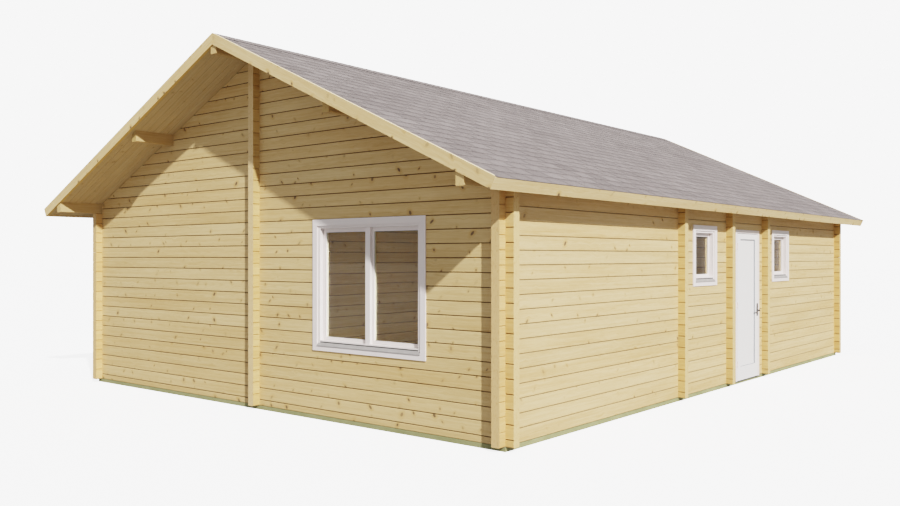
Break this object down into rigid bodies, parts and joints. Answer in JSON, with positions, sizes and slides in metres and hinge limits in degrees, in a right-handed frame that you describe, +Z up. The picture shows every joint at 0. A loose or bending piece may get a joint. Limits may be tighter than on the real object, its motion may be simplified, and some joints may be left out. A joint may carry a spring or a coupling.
{
  "type": "log cabin",
  "caption": "Gabled log cabin of interlocking planed logs with a shingled roof that reaches over the front as a canopy, a side door that opens, white windows and inner log walls.",
  "frame": {"origin": "on the ground under the middle of the roof", "axes": "+Z up, the gable front with the large window faces -Y, the side wall with the door faces +X"},
  "size_m": [7.6844, 11.1, 4.1905],
  "materials": {
    "treated_wood": "sawn, green pressure treatment",
    "floor_wood": "planed boards",
    "log_wood": "planed, untreated spruce",
    "beam_wood": "planed, untreated spruce",
    "roof_board_wood": "planed boards, V-jointed",
    "deck_wood": "hidden deck",
    "edge_wood": "planed, untreated spruce",
    "shingle": "mineral-coated felt",
    "white_paint": "white satin paint",
    "door_paint": "white satin paint",
    "glass": "clear",
    "sill_metal": "grey, satin",
    "threshold": "dark grey",
    "seal": "dark grey weather seal",
    "handle_metal": "satin"
  },
  "bodies": {
    "root": {"base_beams": "treated_wood", "floor_joists": "treated_wood", "floor_boards": "floor_wood", "front_wall": "log_wood", "back_wall": "log_wood", "left_wall": "log_wood", "right_wall": "log_wood", "centre_wall": "log_wood", "cross_wall_front": "log_wood", "cross_wall_middle": "log_wood", "cross_wall_back": "log_wood", "front_gable": "log_wood", "back_gable": "log_wood", "left_eave_purlin": "beam_wood", "right_eave_purlin": "beam_wood", "middle_purlins": "beam_wood", "ridge_purlin": "beam_wood", "roof_boards_left": "roof_board_wood", "roof_boards_right": "roof_board_wood", "roof_deck_left": "deck_wood", "roof_deck_right": "deck_wood", "shingles_left": "shingle", "shingles_right": "shingle", "ridge_cap": "shingle", "front_bargeboards": "edge_wood", "back_bargeboards": "edge_wood", "left_eave_board": "edge_wood", "right_eave_board": "edge_wood", "front_window_frame": "white_paint", "front_window_sashes": "white_paint", "front_window_glass": "glass", "front_window_casing": "white_paint", "front_window_sill": "sill_metal", "side_window_frames": "white_paint", "side_window_sashes": "white_paint", "side_window_glass": "glass", "side_window_casings": "white_paint", "side_window_sills": "sill_metal", "door_frame": "white_paint", "door_threshold": "threshold", "hinge_plates": "white_paint"},
    "door": {"door_leaf": "door_paint", "hinge_sleeves": "white_paint", "handle_plates": "handle_metal"},
    "lever": {"door_lever": "handle_metal"}
  },
  "joints": [
    {"name": "door_swing", "type": "hinge", "parent": "root", "child": "door", "pos_m": [3.5085, 0.4785, 1], "axis": [0, 0, -1], "range_deg": [0, 110]},
    {"name": "lever_press", "type": "hinge", "parent": "door", "child": "lever", "pos_m": [3.5, 1.225, 0.975], "axis": [1, 0, 0], "range_deg": [0, 45], "stiffness_Nm_per_rad": 1.2, "springref_deg": -34.38}
  ]
}
